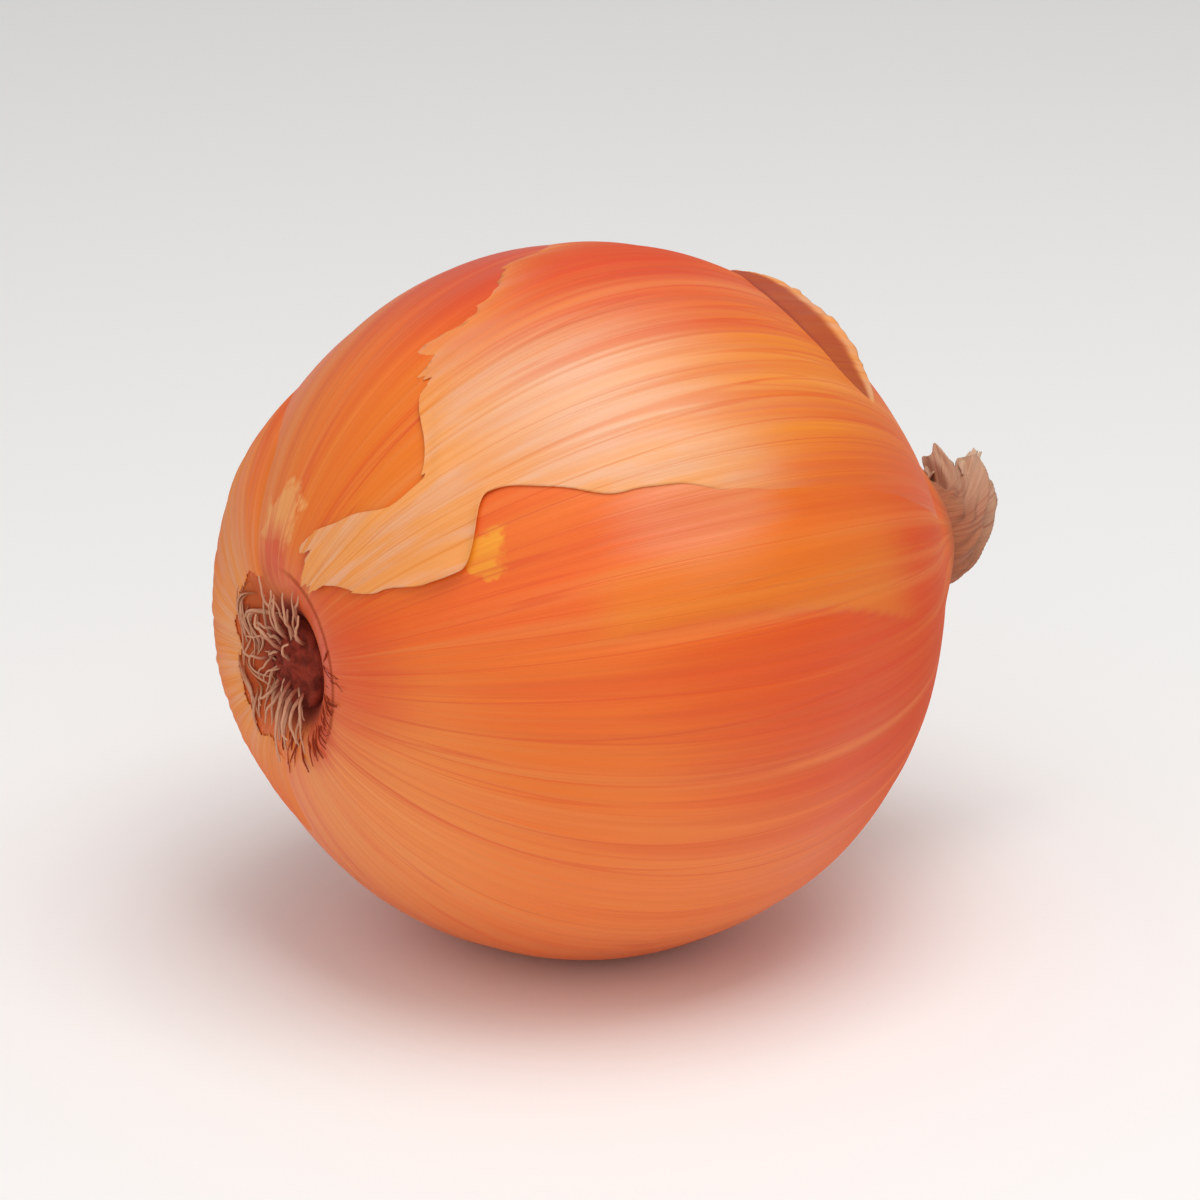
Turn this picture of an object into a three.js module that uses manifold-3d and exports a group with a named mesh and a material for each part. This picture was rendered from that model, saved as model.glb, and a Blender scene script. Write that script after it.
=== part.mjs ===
// A yellow globe onion lying on its side: the bulb, the torn dry skin that still clings to it, the root
// plate with its dead roots, and the withered neck. Millimetres, +Z up. The bulb's axis runs along X, with
// the roots at -X and the neck at +X. The origin is on the flat spot that it rests on, under the middle.
//
// Places on the bulb are given by two angles in degrees. Theta runs from the root pole (0) to the neck
// pole (180), and phi runs round the axis from the front (0) over the top (90) to the back (180).
import * as THREE from "three";
import { mergeVertices } from "three/addons/utils/BufferGeometryUtils.js";
import Module from "manifold-3d";

const wasm = await Module();
wasm.setup();

// Bulb
const BULB_DIAMETER = 78; // at the widest girth
const BULB_LENGTH = 77; // between the poles of the plain globe
const ROOT_HOLLOW_DEPTH = 7; // how far the root pole is drawn in
const ROOT_HOLLOW_RADIUS = 6.5;
const SHOULDER_RISE = 8; // how far the shoulder climbs towards the neck
const SHOULDER_RADIUS = 12;
const STUMP_RADIUS = 6.2; // where the bulb ends and the dry neck begins
const OVAL_SHARE = 0.012; // the girth is a little oval and a little three-sided
const OVAL_PHI = 40;
const THREE_SIDED_SHARE = 0.007;
const THREE_SIDED_PHI = 100;
const RIB_COUNT = 16; // broad low ribs that run from root to neck
const RIB_SHARE = 0.003;
const REST_SPOT_RADIUS = 9; // the flat spot underneath
const BULB_SIDES = 64;
const BULB_STEPS = 48;

// Dry skin
const SKIN_GAP = 0.4; // clear of the bulb
const SKIN_THICKNESS = 0.6;
const OUTER_SKIN_PHI = [35, 68, 202]; // its front edge, the end of its strip to the root, its back edge
// Theta where it has torn off, at stations of phi.
const OUTER_SKIN_TEAR = [
  ...[[35, 46], [40, 23], [44, 20], [57, 20]],
  ...[[61, 26], [66, 47], [72, 52], [84, 62], [98, 82], [114, 98], [202, 118]],
];
// Degrees of phi that the strip and the front edge are drawn up by, at stations of theta.
const OUTER_SKIN_DRAWN_UP = [[20, 14], [30, 4], [38, 0], [46, 0], [56, 8], [72, 4], [100, -2], [158, -9]];
const OUTER_SKIN_END = 158; // theta of its end by the neck
const OUTER_SKIN_RAG = 2.2; // degrees that its torn end wanders
const OUTER_SKIN_RAG_WAVES = [52, 23]; // round the whole bulb
const OUTER_SKIN_EDGE_LIFT = 0.5; // how far its torn end stands off
const OUTER_SKIN_EDGE_FADE = 14;
const OUTER_SKIN_STRIP_ROWS = 0.5; // share of its rows in the strip
const OUTER_SKIN_GRID = [24, 38];
const CURL_PHI = [51, 92]; // from its clinging end to its tip
const CURL_THETA = [127.5, 121.5];
const CURL_WIDTH = [5, 3]; // in degrees of theta
const CURL_LIFT = 1.7; // of its free edge
const CURL_ARCH = 155; // degrees of a sine that its lift follows
const CURL_GRID = [14, 4];
const COLLAR_PHI = [118, 268];
const COLLAR_THETA = [16, 36]; // from its torn rim to where it clings
const COLLAR_LIFT = 1.5;
const COLLAR_RAG = 1.6; // degrees that its rim wanders
const COLLAR_RAG_WAVES = [9, 17];
const COLLAR_GRID = [5, 26];

// Root plate and roots
const PLATE_RADIUS = 5;
const PLATE_FRONT = 4; // the plate's height above the bottom of the hollow
const PLATE_BEVEL = 1;
const PLATE_DOME = 1;
const PLATE_STEPS = 6;
const PLATE_SIDES = 24;
const ROOT_COUNT = 28;
const ROOT_RADIUS = 0.5;
const ROOT_SIDES = 4;
const ROOT_STEPS = 5;
const ROOT_SPREAD_RADIUS = 3.7; // of the roots' feet on the plate
const ROOT_LENGTH = [5, 9];
const ROOT_WANDER = [0.1, 0.55]; // shares of its length that a root goes sideways and outwards
const ROOT_SPREAD = [-0.15, 0.35];
const ROOT_SUNK = 0.7;
const GOLDEN_ANGLE = 137.508;

// Neck
const NECK_KNEE = 4.5; // how far it runs straight on from the bulb
const NECK_TIP = [7, 7, 1.5]; // from its foot, along X, Y and Z
const NECK_PINCH_RADIUS = 4.1; // where it is withered most
const NECK_PINCH_AT = 0.45;
const NECK_END_RADIUS = 4.9;
const NECK_PLEATS = 7;
const NECK_PLEAT_SHARE = 0.2;
const NECK_TWIST = 55; // degrees from end to end
const NECK_SIDES = 35;
const NECK_STEPS = 8;
const STRIP_COUNT = 7; // torn ends of the leaf sheaths
const STRIP_FOOT_AT = 0.8; // share of the neck where a strip starts, inside it
const STRIP_FOOT_RADIUS = 3.4;
const STRIP_LENGTH = [4, 6.5];
const STRIP_WIDTH = 3.4;
const STRIP_TIP_SHARE = 0.35; // of the width, at the tip
const STRIP_WAVE = 0.12; // share that the width wanders by
const STRIP_CUP = 0.5;
const STRIP_CURL = [0.1, 0.75];
const STRIP_TURN = 20; // degrees that a strip may stand out of its even place
const STRIP_THICKNESS = 0.8;
const STRIP_GRID = [5, 2];

const GIRTH = BULB_DIAMETER / 2;
const HALF_LENGTH = BULB_LENGTH / 2;
const rad = THREE.MathUtils.degToRad;
const { clamp, lerp, smoothstep } = THREE.MathUtils;

// Solids: a closed geometry becomes a solid to cut or join, and comes back as a geometry.
function solidOf(geometry) {
  const bare = geometry.clone();
  bare.deleteAttribute("normal");
  bare.deleteAttribute("uv");
  const merged = mergeVertices(bare, 1e-3);
  return new wasm.Manifold(
    new wasm.Mesh({
      numProp: 3,
      vertProperties: new Float32Array(merged.attributes.position.array),
      triVerts: new Uint32Array(merged.index.array),
    }),
  );
}

function geometryOf(solid) {
  const mesh = solid.getMesh();
  return new THREE.BufferGeometry()
    .setAttribute("position", new THREE.BufferAttribute(mesh.vertProperties, mesh.numProp))
    .setIndex(new THREE.BufferAttribute(mesh.triVerts, 1));
}

// Joins pieces into one body. Only the largest shell is kept, before and after close vertices are merged,
// so a hollow that the join seals is filled.
function fuse(geometries) {
  const larger = (best, one) => (one.volume() > best.volume() ? one : best);
  const mainShell = (solid) => solid.decompose().reduce(larger);
  const joined = geometries.map(solidOf).reduce((all, one) => all.add(one));
  return geometryOf(mainShell(solidOf(geometryOf(mainShell(joined)))));
}

// A seeded draw from 0 to 1, so that every build is the same.
function seeded(seed) {
  let state = seed;
  return () => {
    state = (state + 0x6d2b79f5) | 0;
    let mixed = Math.imul(state ^ (state >>> 15), 1 | state);
    mixed = (mixed + Math.imul(mixed ^ (mixed >>> 7), 61 | mixed)) ^ mixed;
    return ((mixed ^ (mixed >>> 14)) >>> 0) / 2 ** 32;
  };
}

const drawBetween = (draw, [low, high]) => lerp(low, high, draw());

// A smooth curve through a few [at, value] stations.
function through(stations, at) {
  const last = stations.length - 1;
  const next = clamp(stations.findIndex(([place]) => place >= at), 1, last);
  const index = at > stations[last][0] ? last : next;
  const [from, low] = stations[index - 1];
  const [to, high] = stations[index];
  return lerp(low, high, smoothstep(at, from, to));
}

// The wander of a torn edge, from -1 to 1: the mean of a few sines that don't repeat together.
function ragged(phi, waves) {
  const total = waves.reduce((sum, count) => sum + Math.sin(rad(phi * count)), 0);
  return total / waves.length;
}

// The bulb's outline, before it is made uneven.
function outline(theta) {
  const radius = GIRTH * Math.sin(rad(theta));
  const globe = -HALF_LENGTH * Math.cos(rad(theta));
  const hollow = theta < 90 ? ROOT_HOLLOW_DEPTH * Math.exp(-((radius / ROOT_HOLLOW_RADIUS) ** 2)) : 0;
  const shoulder = theta > 90 ? SHOULDER_RISE * Math.exp(-((radius / SHOULDER_RADIUS) ** 2)) : 0;
  return { radius, along: globe + hollow + shoulder };
}

// How much further than the plain outline the bulb reaches at one side.
function roundness(theta, phi) {
  const oval = OVAL_SHARE * Math.cos(2 * rad(phi - OVAL_PHI));
  const threeSided = THREE_SIDED_SHARE * Math.cos(3 * rad(phi - THREE_SIDED_PHI));
  const ribs = RIB_SHARE * Math.cos(RIB_COUNT * rad(phi));
  return 1 + (oval + threeSided + ribs) * Math.sin(rad(theta)) ** 2;
}

const lowestRadius = GIRTH * roundness(90, 270);
const AXIS_HEIGHT = Math.sqrt(lowestRadius ** 2 - REST_SPOT_RADIUS ** 2);
const STUMP_THETA = 180 - THREE.MathUtils.radToDeg(Math.asin(STUMP_RADIUS / GIRTH));
const STUMP_X = outline(STUMP_THETA).along;

function onSkin(theta, phi) {
  const { radius, along } = outline(theta);
  const reach = radius * roundness(theta, phi);
  return new THREE.Vector3(along, -reach * Math.cos(rad(phi)), AXIS_HEIGHT + reach * Math.sin(rad(phi)));
}

// A point raised off the skin along its own normal.
function offSkin(theta, phi, lift) {
  const step = 0.5;
  const here = onSkin(theta, phi);
  const alongTheta = onSkin(theta + step, phi).sub(onSkin(theta - step, phi));
  const alongPhi = onSkin(theta, phi + step).sub(onSkin(theta, phi - step));
  return here.addScaledVector(alongTheta.cross(alongPhi).normalize(), lift);
}

// A thin closed sheet: place(u, v, side) gives the point at u and v from 0 to 1, on the under side (0) or
// the upper side (1). Both sides are split into triangles alike.
function sheet([columns, rows], place) {
  const points = [];
  const faces = [];
  const at = (i, j, side) => (side * (rows + 1) + j) * (columns + 1) + i;
  const quad = (a, b, c, d) => faces.push(a, b, c, a, c, d);
  for (const side of [0, 1])
    for (let j = 0; j <= rows; j++)
      for (let i = 0; i <= columns; i++) points.push(...place(i / columns, j / rows, side).toArray());
  for (let j = 0; j < rows; j++)
    for (let i = 0; i < columns; i++) {
      const round = [[i, j], [i + 1, j], [i + 1, j + 1], [i, j + 1]];
      const [a, b, c, d] = round.map(([column, row]) => at(column, row, 0));
      quad(...round.map(([column, row]) => at(column, row, 1)));
      faces.push(a, c, b, a, d, c);
    }
  for (let i = 0; i < columns; i++) {
    quad(at(i, 0, 0), at(i + 1, 0, 0), at(i + 1, 0, 1), at(i, 0, 1));
    quad(at(i + 1, rows, 0), at(i, rows, 0), at(i, rows, 1), at(i + 1, rows, 1));
  }
  for (let j = 0; j < rows; j++) {
    quad(at(0, j + 1, 0), at(0, j, 0), at(0, j, 1), at(0, j + 1, 1));
    quad(at(columns, j, 0), at(columns, j + 1, 0), at(columns, j + 1, 1), at(columns, j, 1));
  }
  return new THREE.BufferGeometry()
    .setAttribute("position", new THREE.Float32BufferAttribute(points, 3))
    .setIndex(faces);
}

// Bulb: a turned outline, made a little uneven round its girth, with a flat spot cut underneath.
function bulb() {
  const thetas = Array.from({ length: BULB_STEPS + 1 }, (_, j) => STUMP_THETA * (1 - j / BULB_STEPS));
  const stations = [
    new THREE.Vector2(0, STUMP_X),
    ...thetas.map((theta) => new THREE.Vector2(outline(theta).radius, outline(theta).along)),
  ];
  const turned = new THREE.LatheGeometry(stations, BULB_SIDES);
  const position = turned.attributes.position;
  for (let side = 0; side <= BULB_SIDES; side++)
    thetas.forEach((theta, j) => {
      const point = onSkin(theta, (360 * (side % BULB_SIDES)) / BULB_SIDES);
      position.setXYZ(side * stations.length + j + 1, ...point.toArray());
    });
  for (let side = 0; side <= BULB_SIDES; side++)
    position.setXYZ(side * stations.length, STUMP_X, 0, AXIS_HEIGHT);
  const floor = new THREE.BoxGeometry(BULB_DIAMETER, BULB_DIAMETER, GIRTH).translate(0, 0, -GIRTH / 2);
  return geometryOf(solidOf(turned).subtract(solidOf(floor)));
}

// Outer skin: the palest dry layer, left over the top and back. A strip of it still reaches the root plate,
// and the rest has torn away along a ragged edge.
function outerSkin() {
  const [front, middle, back] = OUTER_SKIN_PHI;
  const share = OUTER_SKIN_STRIP_ROWS;
  return sheet(OUTER_SKIN_GRID, (u, v, side) => {
    const level = v < share ? lerp(front, middle, v / share) : lerp(middle, back, (v - share) / (1 - share));
    const rag = OUTER_SKIN_RAG * ragged(level, OUTER_SKIN_RAG_WAVES);
    const theta = lerp(through(OUTER_SKIN_TEAR, level) + rag, OUTER_SKIN_END, u);
    const drawnUp = through(OUTER_SKIN_DRAWN_UP, theta) * (1 - smoothstep(v, share, 1));
    const lift = SKIN_GAP + OUTER_SKIN_EDGE_LIFT * (1 - u) ** OUTER_SKIN_EDGE_FADE;
    return offSkin(theta, level + drawnUp, lift + side * SKIN_THICKNESS);
  });
}

// Skin curl: a torn tongue of skin by the neck that has dried and lifted clear of the bulb.
function skinCurl() {
  return sheet(CURL_GRID, (u, v, side) => {
    const theta = lerp(...CURL_THETA, u) - lerp(...CURL_WIDTH, u) * (v - 0.5);
    const arch = CURL_LIFT * Math.sin(rad(CURL_ARCH * u)) * v;
    const lift = SKIN_GAP * 2 + SKIN_THICKNESS + arch;
    return offSkin(theta, lerp(...CURL_PHI, u), lift + side * SKIN_THICKNESS);
  });
}

// Root collar: the rim of dry skin that stands up behind the root plate.
function rootCollar() {
  return sheet(COLLAR_GRID, (u, v, side) => {
    const phi = lerp(...COLLAR_PHI, v);
    const rag = COLLAR_RAG * ragged(phi, COLLAR_RAG_WAVES);
    const theta = lerp(COLLAR_THETA[0] + rag, COLLAR_THETA[1], u);
    const tapered = Math.sqrt(Math.sin(Math.PI * clamp(v, 0.03, 0.97)));
    const lift = SKIN_GAP + COLLAR_LIFT * (1 - u) ** 2 * tapered;
    return offSkin(theta, phi, lift + side * SKIN_THICKNESS);
  });
}

// Root plate: a corky disc that fills the hollow, and the dead roots that stand out of it.
const hollowX = (radius) => outline(THREE.MathUtils.radToDeg(Math.asin(radius / GIRTH))).along;
const PLATE_FRONT_X = hollowX(0) - PLATE_FRONT;

function plate() {
  const back = [];
  for (let step = 0; step <= PLATE_STEPS; step++) {
    const radius = (PLATE_RADIUS * step) / PLATE_STEPS;
    back.push(new THREE.Vector2(radius, hollowX(radius) - SKIN_GAP));
  }
  const rim = new THREE.Vector2(PLATE_RADIUS - PLATE_BEVEL, PLATE_FRONT_X);
  const dome = new THREE.Vector2(0, PLATE_FRONT_X - PLATE_DOME);
  const turned = new THREE.LatheGeometry([dome, rim, ...back.reverse()], PLATE_SIDES);
  return turned.rotateZ(-Math.PI / 2).translate(0, 0, AXIS_HEIGHT);
}

// A root leaves the plate straight, then wanders off to one side and curls over.
function root(index, draw) {
  const radius = ROOT_SPREAD_RADIUS * Math.sqrt((index + 0.5) / ROOT_COUNT);
  const alpha = rad(index * GOLDEN_ANGLE);
  const outwards = new THREE.Vector3(0, -Math.cos(alpha), Math.sin(alpha));
  const hand = draw() < 0.5 ? -1 : 1;
  const sideways = new THREE.Vector3(0, hand * Math.sin(alpha), hand * Math.cos(alpha));
  const away = new THREE.Vector3(-1, 0, 0);
  const length = drawBetween(draw, ROOT_LENGTH);
  const wander = drawBetween(draw, ROOT_WANDER);
  const spread = drawBetween(draw, ROOT_SPREAD);
  const foot = new THREE.Vector3(PLATE_FRONT_X + ROOT_SUNK, 0, AXIS_HEIGHT).addScaledVector(outwards, radius);
  // Shares of the length: away from the plate, outwards and sideways.
  const bends = [
    [0, 0, 0],
    [0.3, 0.05, 0],
    [0.46, spread * 0.5, wander * 0.5],
    [0.52, spread * 0.9, wander],
    [0.48, spread * 1.2, wander * 1.6],
  ];
  const points = bends.map(([out, aside, round]) =>
    foot
      .clone()
      .addScaledVector(away, out * length)
      .addScaledVector(outwards, aside * length)
      .addScaledVector(sideways, round * length),
  );
  const corners = Array.from({ length: ROOT_SIDES }, (_, k) => rad((360 * k) / ROOT_SIDES));
  const section = new THREE.Shape(
    corners.map((turn) => new THREE.Vector2(ROOT_RADIUS * Math.cos(turn), ROOT_RADIUS * Math.sin(turn))),
  );
  return new THREE.ExtrudeGeometry(section, {
    steps: ROOT_STEPS,
    extrudePath: new THREE.CatmullRomCurve3(points),
  });
}

function rootTuft() {
  const draw = seeded(7);
  const roots = Array.from({ length: ROOT_COUNT }, (_, index) => root(index, draw));
  return fuse([plate(), ...roots]);
}

// Neck: the pleated, twisted stalk of dead leaf sheaths, leaning over, with torn strips at its end.
const neckFoot = new THREE.Vector3(STUMP_X + SKIN_GAP, 0, AXIS_HEIGHT);
const neckKnee = neckFoot.clone().add(new THREE.Vector3(NECK_KNEE, 0, 0));
const neckTip = neckFoot.clone().add(new THREE.Vector3(...NECK_TIP));
const neckLine = new THREE.QuadraticBezierCurve3(neckFoot, neckKnee, neckTip);

// The neck's line at a share of its length, with the two directions across it.
function acrossNeck(share) {
  const along = neckLine.getTangent(clamp(share, 0, 1));
  const level = new THREE.Vector3(0, 0, 1).cross(along).normalize();
  return { centre: neckLine.getPoint(share), along, level, upright: level.clone().cross(along) };
}

function neckRadius(share, turn) {
  const stations = [[0, STUMP_RADIUS], [NECK_PINCH_AT, NECK_PINCH_RADIUS], [1, NECK_END_RADIUS]];
  const pleats = Math.sin(NECK_PLEATS * (turn + rad(NECK_TWIST) * share));
  const pleated = NECK_PLEAT_SHARE * smoothstep(share, 0, 0.5);
  return through(stations, share) * (1 + pleated * pleats);
}

function neckStalk() {
  const stalk = new THREE.CylinderGeometry(1, 1, 1, NECK_SIDES, NECK_STEPS);
  const position = stalk.attributes.position;
  const place = new THREE.Vector3();
  for (let k = 0; k < position.count; k++) {
    place.fromBufferAttribute(position, k);
    const share = place.y + 0.5;
    const turn = Math.atan2(place.x, place.z);
    const reach = Math.hypot(place.x, place.z) * neckRadius(share, turn);
    const { centre, level, upright } = acrossNeck(share);
    centre.addScaledVector(level, reach * Math.sin(turn)).addScaledVector(upright, reach * Math.cos(turn));
    position.setXYZ(k, ...centre.toArray());
  }
  return stalk;
}

// A torn strip starts inside the stalk, flares off it and curls.
function neckStrip(index, draw) {
  const turn = rad((360 * index) / STRIP_COUNT + STRIP_TURN * draw());
  const length = drawBetween(draw, STRIP_LENGTH);
  const curl = drawBetween(draw, STRIP_CURL);
  const { centre, along, level, upright } = acrossNeck(STRIP_FOOT_AT);
  const out = level.clone().multiplyScalar(Math.sin(turn)).addScaledVector(upright, Math.cos(turn));
  const across = out.clone().cross(along);
  return sheet(STRIP_GRID, (u, v, side) => {
    const width = STRIP_WIDTH * lerp(1, STRIP_TIP_SHARE, u * u) * (1 + STRIP_WAVE * Math.sin(9 * u + index));
    const flare = 0.6 * curl * length * u * u;
    const cup = STRIP_CUP * (1 - (2 * v - 1) ** 2);
    return centre
      .clone()
      .addScaledVector(along, length * u * (1 - 0.15 * curl * u))
      .addScaledVector(out, STRIP_FOOT_RADIUS + flare + cup + side * STRIP_THICKNESS)
      .addScaledVector(across, width * (v - 0.5));
  });
}

function neck() {
  const draw = seeded(3);
  const strips = Array.from({ length: STRIP_COUNT }, (_, index) => neckStrip(index, draw));
  return fuse([neckStalk(), ...strips]);
}

// Colours of the pieces
const skinPaint = { metalness: 0, roughness: 0.42 };
const paints = {
  copper: new THREE.MeshStandardMaterial({ color: 0xe26a35, ...skinPaint }),
  gold: new THREE.MeshStandardMaterial({ color: 0xea9357, ...skinPaint }),
  straw: new THREE.MeshStandardMaterial({ color: 0xd8a184, metalness: 0, roughness: 0.8 }),
  bark: new THREE.MeshStandardMaterial({ color: 0xb08468, metalness: 0, roughness: 0.9 }),
};

function piece(name, geometry, paint) {
  const mesh = new THREE.Mesh(geometry, paint);
  mesh.name = name;
  return mesh;
}

const onion = new THREE.Group();
onion.add(
  piece("bulb", bulb(), paints.copper),
  piece("outer_skin", outerSkin(), paints.gold),
  piece("skin_curl", skinCurl(), paints.gold),
  piece("root_collar", rootCollar(), paints.gold),
  piece("root_tuft", rootTuft(), paints.bark),
  piece("neck", neck(), paints.straw),
);

export default onion;
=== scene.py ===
"""A yellow globe onion lying on its side, with torn outer skin, dead roots and a dry neck."""
import math
from collections import namedtuple
from types import SimpleNamespace

import bmesh
import bpy
import numpy as np
from bpy.props import FloatProperty, FloatVectorProperty, IntProperty, PointerProperty
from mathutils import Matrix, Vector


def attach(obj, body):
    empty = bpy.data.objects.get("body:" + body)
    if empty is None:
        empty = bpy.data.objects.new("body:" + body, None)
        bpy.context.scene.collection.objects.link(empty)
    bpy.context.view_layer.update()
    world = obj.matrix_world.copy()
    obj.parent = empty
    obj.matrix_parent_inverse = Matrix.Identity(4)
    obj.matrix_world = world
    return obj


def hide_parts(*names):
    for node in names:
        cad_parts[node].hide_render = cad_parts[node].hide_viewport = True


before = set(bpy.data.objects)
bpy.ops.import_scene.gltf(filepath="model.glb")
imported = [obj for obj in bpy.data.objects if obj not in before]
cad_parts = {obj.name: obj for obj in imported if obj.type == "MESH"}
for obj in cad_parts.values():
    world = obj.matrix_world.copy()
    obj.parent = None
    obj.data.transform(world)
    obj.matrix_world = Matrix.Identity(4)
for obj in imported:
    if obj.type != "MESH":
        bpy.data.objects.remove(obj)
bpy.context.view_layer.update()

bl_info = {
    "name": "Onion",
    "version": (1, 0, 0),
    "blender": (4, 5, 0),
    "location": "3D View > Sidebar > Onion",
    "description": "Builds a yellow globe onion that lies on its side",
    "category": "Add Mesh",
}

# Places on the bulb are angles: theta from the root pole to the neck pole, and phi round the girth, from
# the front over the top to the back. Stations are in degrees.
OUTER_SKIN_FRONT = 35
OUTER_SKIN_ROWS = ((0, 35), (0.2, 56), (0.3, 59), (0.5, 68), (1, 202))
OUTER_SKIN_COLUMNS = ((0, 12), (0.65, 60), (1, 158))
OUTER_SKIN_TEAR = (
    (35, 24), (37, 21), (44, 18), (52, 20), (56, 25), (58.5, 45), (61, 49.5),
    (66, 53), (74, 58), (82, 68), (90, 79), (114, 98), (202, 118),
)
OUTER_SKIN_DRAWN_UP = (
    (20, 14), (30, 4), (38, 0), (44, 0), (52, 13), (72, 4), (100, -2), (158, -9),
)
CURL_PHI = (51, 95)
CURL_THETA = (127.5, 121.5)
CURL_WIDTH = (5, 3)
CURL_FOOT_BOW = 5
COLLAR_PHI = (118, 268)
COLLAR_THETA = (16, 36)
COLLAR_TONGUE_PHI = 148
COLLAR_TONGUE_WIDTH = 22
COLLAR_TONGUE_THETA = 33

# The faint edge of the layer below the outer skin, in degrees: where it is highest, how it bends down to
# both sides, how wide its step is, and between which angles it fades upwards, starts and ends.
LAYER_EDGE_THETA = 78
LAYER_EDGE_PHI = 16.5
LAYER_EDGE_BEND = 0.0045
LAYER_EDGE_WIDTH = 0.9
LAYER_FADE_PHI = (20, 33)
LAYER_START_THETA = (58, 68)
LAYER_END_THETA = (112, 128)

# Parts of the neck's length, and the neck's radius along it in metres.
NECK_RADII = ((0, 0.0062), (0.45, 0.0041), (1, 0.0049))
NECK_START = -0.16
NECK_HOLLOW_END = 0.7
STRIP_START = 0.8

# The side on which the edge round the root hollow shows, in radians, and the cosines of the angle from that
# side between which it fades.
ROOT_EDGE_PHI = 0.5
ROOT_EDGE_FADE = (0.3, 0.7)

# How far the fill light stands beside and above the camera, in radians, and where the softbox hangs.
FILL_TURN = 0.3
FILL_RISE = 0.15
SOFTBOX_DIRECTION = (0.05, -0.25, 0.96)

# The share of a sector by which each fibre is set on from the one before, so that no two line up.
GOLDEN_SHARE = (math.sqrt(5) - 1) / 2

# Depths in metres to which skins and hairs, and the root plate and roots, are sunk into what carries them.
SKIN_SUNK = 0.0001
ROOT_SUNK = 0.0002

# How far beyond the stump the neck's line starts, and how far off that line a strip starts, in metres.
NECK_FOOT_OUT = 0.0004
STRIP_OUT = 0.0037

# Distances in metres below which points become one: where the bulb closes, and on the other pieces.
POLE_MERGE = 2e-6
POINT_MERGE = 1e-7

# Patches of another colour on the skin: where they are, how far they reach in metres, how strong they are,
# and whether their border is torn rather than soft.
Patch = namedtuple("Patch", "theta phi reach colour strength torn", defaults=(False,))
SKIN_PATCHES = (
    Patch(108, 50, 0.026, "honey", 0.75),
    Patch(92, 95, 0.030, "ember", 0.95),
    Patch(35, 82, 0.022, "honey", 0.35),
    Patch(28, -45, 0.026, "apricot", 0.4),
    Patch(80, -38, 0.030, "apricot", 0.25),
    Patch(122, 5, 0.034, "ember", 0.7),
    Patch(88, 4, 0.018, "ember", 0.35),
    Patch(18, 15, 0.013, "ember", 0.6),
    Patch(24.2, 101, 0.0042, "apricot", 0.85, True),
    Patch(17.6, 103, 0.0046, "ember", 0.75),
    Patch(13, -42, 0.0050, "ember", 0.85),
    Patch(48.7, 37, 0.0027, "sun", 0.5, True),
    # Painted highlight just below the reflection of the overhead light, over paler skin.
    Patch(82, 35, 0.012, "blush", 0.3),
)
# The first two blush patches are painted highlight where the overhead light reflects, over paler skin.
OUTER_SKIN_PATCHES = (
    Patch(64, 57, 0.021, "blush", 0.75),
    Patch(82, 51, 0.023, "blush", 0.75),
    *SKIN_PATCHES,
)


def linear(red, green, blue):
    """A colour given in 8-bit sRGB, as linear light."""
    shares = (red / 255, green / 255, blue / 255)
    return tuple(c / 12.92 if c <= 0.04045 else ((c + 0.055) / 1.055) ** 2.4 for c in shares)


def length(name, description, default):
    return FloatProperty(name=name, description=description, default=default, unit="LENGTH", precision=5)


def angle(name, description, degrees):
    return FloatProperty(name=name, description=description, default=math.radians(degrees), subtype="ANGLE")


def share(name, description, default):
    return FloatProperty(name=name, description=description, default=default, precision=4)


def power(name, description, default):
    return FloatProperty(name=name, description=description, default=default, unit="POWER")


def count(name, description, default):
    return IntProperty(name=name, description=description, default=default, min=1)


def colour(name, description, *levels):
    return FloatVectorProperty(
        name=name, description=description, default=linear(*levels), subtype="COLOR", min=0, max=1)


class BulbShape(bpy.types.PropertyGroup):
    """The bulb's outline, and how it is made uneven round its girth."""

    girth: length("Girth", "Radius where the bulb is widest", 0.039)
    half_length: length("Half length", "Half the length of the globe, before hollow and shoulder", 0.0385)
    hollow_depth: length("Hollow depth", "Depth of the hollow round the root plate", 0.007)
    hollow_radius: length("Hollow radius", "Radius over which the hollow fades", 0.0065)
    shoulder_rise: length("Shoulder rise", "How far the shoulder rises to the neck", 0.008)
    shoulder_radius: length("Shoulder radius", "Radius over which the shoulder fades", 0.012)
    stump_radius: length("Stump radius", "Radius where the neck starts", 0.0062)
    oval_share: share("Oval", "Share by which the girth is oval", 0.012)
    oval_phi: angle("Oval direction", "Side where the oval reaches furthest", 40)
    three_sided_share: share("Three-sided", "Share by which the girth is three-sided", 0.007)
    three_sided_phi: angle("Three-sided direction", "Side where one of the three reaches furthest", 100)
    rib_share: share("Ribs", "Share by which the broad ribs stand out", 0.003)
    rest_radius: length("Rest spot", "Radius of the flat spot underneath", 0.009)
    root_edge_theta: angle("Root edge", "Where the layer round the root hollow ends", 15.5)
    layer_step: length("Layer step", "Height of the step where the second layer ends", 0.00022)
    vein_relief: length("Vein relief", "Height of the veins", 0.00006)
    sides: count("Sides", "Points round the girth", 401)
    steps: count("Steps", "Points from root to neck", 241)

    @property
    def axis_height(self):
        lowest = self.girth * roundness(math.radians(90), math.radians(270), self)
        return float(math.sqrt(lowest ** 2 - self.rest_radius ** 2))

    @property
    def stump_theta(self):
        return math.pi - math.asin(self.stump_radius / self.girth)


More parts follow.
